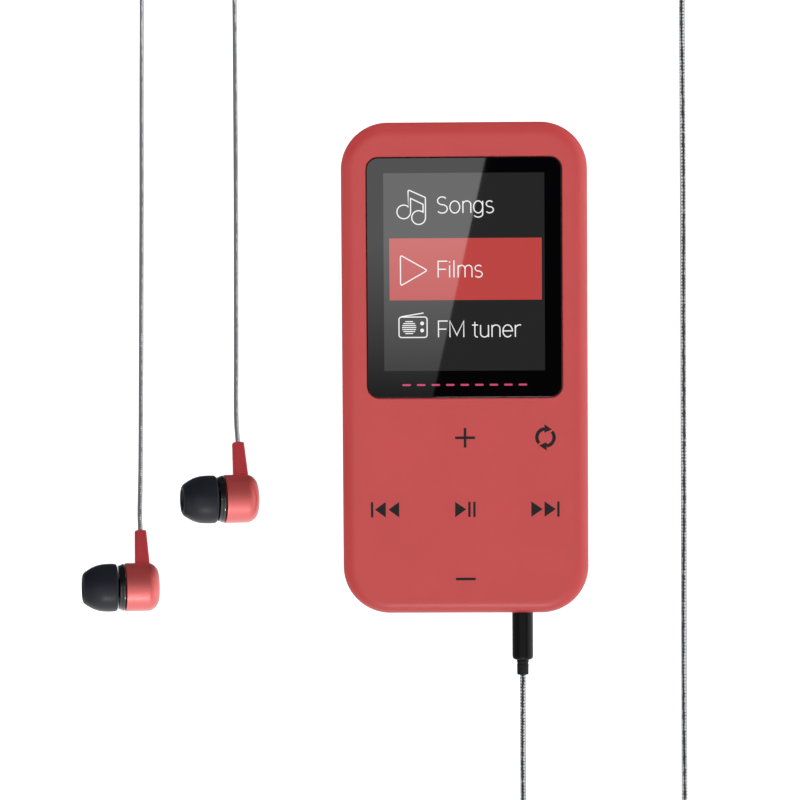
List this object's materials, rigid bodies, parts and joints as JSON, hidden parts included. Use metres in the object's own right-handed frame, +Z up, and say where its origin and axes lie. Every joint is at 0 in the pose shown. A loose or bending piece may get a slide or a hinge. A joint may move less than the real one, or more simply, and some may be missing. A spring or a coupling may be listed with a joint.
{
  "type": "digital audio player",
  "caption": "Pocket audio player with round corners, a small screen and flat touch keys, lying on its back with braided-cord in-ear earphones plugged in.",
  "frame": {"origin": "on the surface that the player lies on, under the middle of the player's case", "axes": "+X across the player, +Y along it towards its top edge, +Z up out of its screen; the earphone plug enters from -Y"},
  "size_m": [0.108, 0.1871, 0.0103],
  "materials": {
    "case_coral": "satin",
    "bud_coral": "satin",
    "stem_coral": "matte",
    "window_glass": "glossy",
    "black_gloss": "glossy",
    "black_matte": "matte",
    "silicone_black": "satin",
    "lcd": "satin",
    "white_plastic": "satin",
    "board": "satin",
    "flex_film": "satin",
    "tape": "matte",
    "steel": "satin",
    "gold_contact": "polished",
    "battery_foil": "satin",
    "chip_black": "matte",
    "braided_cord": "braided"
  },
  "bodies": {
    "player": {"front_shell": "case_coral", "rear_cover": "case_coral", "screen_window": "window_glass", "window_adhesive": "tape", "lcd_backlight": "white_plastic", "lcd_panel": "lcd", "lcd_flex": "flex_film", "main_board": "board", "touch_key_board": "board", "battery": "battery_foil", "battery_tape": "tape", "processor": "chip_black", "memory_chip": "chip_black", "crystal": "steel", "microphone": "steel", "audio_jack": "black_matte", "usb_socket": "steel", "usb_tongue": "black_matte", "card_reader": "steel", "power_switch_body": "steel", "case_screw_1": "steel", "case_screw_2": "steel", "case_screw_3": "steel", "case_screw_4": "steel"},
    "power_switch": {"power_switch_knob": "case_coral"},
    "earphones": {"plug_sleeve_contact": "gold_contact", "plug_ring_contact": "gold_contact", "plug_tip_contact": "gold_contact", "plug_insulator_1": "black_matte", "plug_insulator_2": "black_matte", "plug_barrel": "black_gloss", "plug_strain_relief": "black_gloss", "main_cord_coil": "braided_cord", "left_cord_coil": "braided_cord", "right_cord_coil": "braided_cord", "main_coil_tie": "black_matte", "left_coil_tie": "black_matte", "right_coil_tie": "black_matte", "main_cord_plug_end": "braided_cord", "main_cord_run": "braided_cord", "left_cord_start": "braided_cord", "left_cord_run": "braided_cord", "right_cord_start": "braided_cord", "right_cord_run": "braided_cord", "cord_splitter": "black_gloss", "left_housing": "bud_coral", "left_stem": "stem_coral", "left_driver": "steel", "left_nozzle": "black_gloss", "left_nozzle_mesh": "steel", "right_housing": "bud_coral", "right_stem": "stem_coral", "right_driver": "steel", "right_nozzle": "black_gloss", "right_nozzle_mesh": "steel"},
    "left_tip": {"left_ear_tip": "silicone_black"},
    "right_tip": {"right_ear_tip": "silicone_black"}
  },
  "joints": [
    {"name": "power_switch_slide", "type": "slide", "parent": "player", "child": "power_switch", "axis": [0, 1, 0], "range_m": [0, 0.002]},
    {"name": "plug_pull", "type": "slide", "parent": "player", "child": "earphones", "axis": [0, -1, 0], "range_m": [0, 0.016]},
    {"name": "left_tip_pull", "type": "slide", "parent": "earphones", "child": "left_tip", "axis": [-0.9816, 0, 0.1908], "range_m": [0, 0.008]},
    {"name": "right_tip_pull", "type": "slide", "parent": "earphones", "child": "right_tip", "axis": [-0.9703, 0, 0.2419], "range_m": [0, 0.008]}
  ]
}
